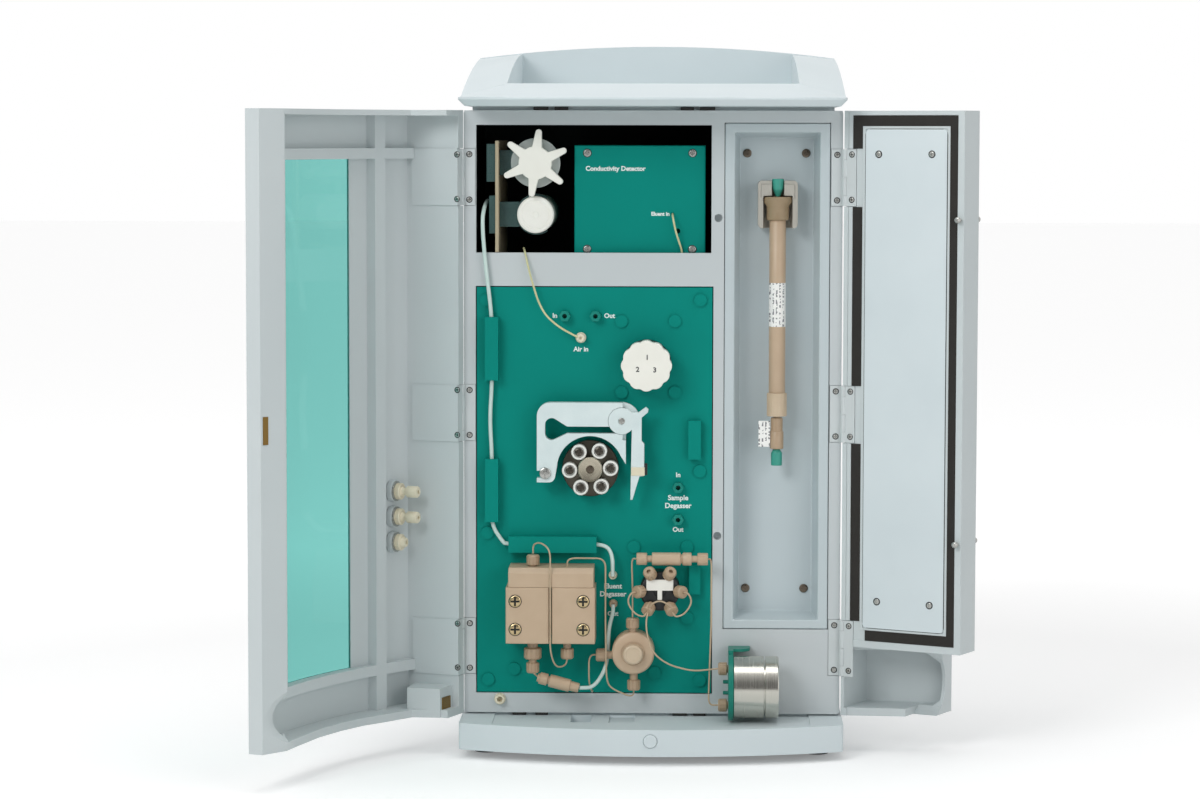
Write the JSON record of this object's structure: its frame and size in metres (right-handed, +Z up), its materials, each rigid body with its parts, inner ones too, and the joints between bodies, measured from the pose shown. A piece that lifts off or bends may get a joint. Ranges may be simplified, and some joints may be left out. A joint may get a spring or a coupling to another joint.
{
  "type": "ion chromatograph",
  "caption": "Bench-top ion chromatograph with two hinged bowed doors, a column bay, detector bay, pumps and valves on a wet panel, and a bottle tray on top.",
  "frame": {"origin": "on the bench, on the cabinet's centre line, straight below its front plane", "axes": "+X to the user's right, +Y into the cabinet towards its back, +Z up"},
  "size_m": [0.668, 0.5348, 0.6816],
  "materials": {
    "feet_rubber": "dark rubber",
    "tray_plastic": "pale blue-grey moulded foam plastic",
    "button_plastic": "grey button",
    "cabinet_paint": "pale blue-grey paint",
    "black_plastic": "black plastic",
    "green_panel": "green moulded panel",
    "green_plastic": "green plastic",
    "bay_black": "black bay lining",
    "cream_plastic": "cream plastic",
    "white_plastic": "white plastic",
    "cartridge_white": "white cartridge",
    "brushed_metal": "brushed steel",
    "roller_white": "white roller",
    "peek": "beige machined polymer",
    "peek_fitting": "beige polymer fitting",
    "capillary_peek": "natural polymer capillary",
    "white_tube": "translucent white tubing",
    "stainless": "turned stainless steel",
    "green_metal": "green painted bracket",
    "column_peek": "beige polymer tube",
    "hinge_steel": "steel",
    "door_plastic": "pale blue-grey moulded door",
    "window_tint": "teal tinted window",
    "brass_plate": "brass",
    "gasket_rubber": "black foam gasket",
    "drive_metal": "cast aluminium housing",
    "board_plastic": "circuit board"
  },
  "bodies": {
    "cabinet": {"absorber_cartridges": "cartridge_white", "base_tray": "tray_plastic", "bay_liner": "bay_black", "body_hinges": "hinge_steel", "bottle_tray": "tray_plastic", "bracket_plate": "cream_plastic", "capillaries": "capillary_peek", "cartridge_clips": "white_plastic", "column": "column_peek", "column_bay": "cabinet_paint", "column_chip": "cream_plastic", "column_holder": "white_plastic", "column_stoppers": "green_plastic", "damper": "stainless", "damper_bracket": "green_metal", "detector_module": "green_panel", "drain_nipple": "cream_plastic", "electronics": "board_plastic", "fan_housing": "black_plastic", "feet": "feet_rubber", "fluid_drives": "drive_metal", "front_frame": "cabinet_paint", "front_panel": "green_panel", "housing": "cabinet_paint", "injection_valve": "black_plastic", "inline_filters": "peek", "peek_fittings": "peek_fitting", "power_inlet": "black_plastic", "pump_head": "peek", "purge_valve": "peek", "rear_panel": "cabinet_paint", "screws": "hinge_steel", "supply_tubes": "white_tube", "suppressor_body": "black_plastic", "wet_ports": "green_plastic"},
    "door_left": {"left_door": "door_plastic", "left_window": "window_tint", "left_door_hinges": "hinge_steel", "tube_bulkheads": "cream_plastic", "door_latch": "brass_plate"},
    "door_right": {"right_door": "door_plastic", "door_block": "door_plastic", "door_gasket": "gasket_rubber", "inner_panel": "door_plastic", "right_door_hinges": "hinge_steel", "ball_studs": "hinge_steel"},
    "rotor": {"pump_rotor": "brushed_metal"},
    "cassette": {"tubing_cassette": "white_plastic"},
    "latch": {"cassette_latch": "white_plastic"},
    "suppressor_dial": {"suppressor_knob": "white_plastic"},
    "purge_dial": {"purge_knob": "peek_fitting"},
    "star_dial": {"star_cap": "white_plastic"},
    "button": {"standby_button": "button_plastic"},
    "fan": {"fan_rotor": "black_plastic"},
    "roller_body_1": {"roller_1": "roller_white"},
    "roller_body_2": {"roller_2": "roller_white"},
    "roller_body_3": {"roller_3": "roller_white"},
    "roller_body_4": {"roller_4": "roller_white"},
    "roller_body_5": {"roller_5": "roller_white"},
    "roller_body_6": {"roller_6": "roller_white"}
  },
  "joints": [
    {"name": "left_door_hinge", "type": "hinge", "parent": "cabinet", "child": "door_left", "pos_m": [-0.1825, -0.003, 0.325], "axis": [0, 0, 1], "range_deg": [0, 112]},
    {"name": "right_door_hinge", "type": "hinge", "parent": "cabinet", "child": "door_right", "pos_m": [0.1825, -0.003, 0.325], "axis": [0, 0, 1], "range_deg": [-152, 0]},
    {"name": "rotor_spin", "type": "hinge", "parent": "cabinet", "child": "rotor", "pos_m": [-0.0588, -0.01, 0.2738], "axis": [0, -1, 0], "continuous": true},
    {"name": "roller_1_spin", "type": "hinge", "parent": "rotor", "child": "roller_body_1", "pos_m": [-0.03933, -0.018, 0.27482], "axis": [0, -1, 0], "continuous": true},
    {"name": "roller_2_spin", "type": "hinge", "parent": "rotor", "child": "roller_body_2", "pos_m": [-0.04995, -0.018, 0.29118], "axis": [0, -1, 0], "continuous": true},
    {"name": "roller_3_spin", "type": "hinge", "parent": "rotor", "child": "roller_body_3", "pos_m": [-0.06942, -0.018, 0.29015], "axis": [0, -1, 0], "continuous": true},
    {"name": "roller_4_spin", "type": "hinge", "parent": "rotor", "child": "roller_body_4", "pos_m": [-0.07827, -0.018, 0.27278], "axis": [0, -1, 0], "continuous": true},
    {"name": "roller_5_spin", "type": "hinge", "parent": "rotor", "child": "roller_body_5", "pos_m": [-0.06765, -0.018, 0.25643], "axis": [0, -1, 0], "continuous": true},
    {"name": "roller_6_spin", "type": "hinge", "parent": "rotor", "child": "roller_body_6", "pos_m": [-0.04818, -0.018, 0.25745], "axis": [0, -1, 0], "continuous": true},
    {"name": "cassette_swing", "type": "hinge", "parent": "cabinet", "child": "cassette", "pos_m": [-0.1016, -0.018, 0.2699], "axis": [0, -1, 0], "range_deg": [0, 60]},
    {"name": "cassette_latch_turn", "type": "hinge", "parent": "cassette", "child": "latch", "pos_m": [-0.0289, -0.02, 0.32], "axis": [0, -1, 0], "range_deg": [0, 25]},
    {"name": "suppressor_knob_turn", "type": "hinge", "parent": "cabinet", "child": "suppressor_dial", "pos_m": [-0.0053, -0.026, 0.3732], "axis": [0, -1, 0], "continuous": true},
    {"name": "purge_knob_turn", "type": "hinge", "parent": "cabinet", "child": "purge_dial", "pos_m": [-0.0175, -0.03, 0.0976], "axis": [0, -1, 0], "range_deg": [0, 180]},
    {"name": "star_cap_turn", "type": "hinge", "parent": "cabinet", "child": "star_dial", "pos_m": [-0.112, -0.004, 0.5645], "axis": [0, -1, 0], "continuous": true},
    {"name": "standby_button_press", "type": "slide", "parent": "cabinet", "child": "button", "axis": [0, 1, 0], "range_m": [0, 0.0012]},
    {"name": "fan_spin", "type": "hinge", "parent": "cabinet", "child": "fan", "pos_m": [-0.09, 0.27, 0.54], "axis": [0, 1, 0], "continuous": true}
  ]
}
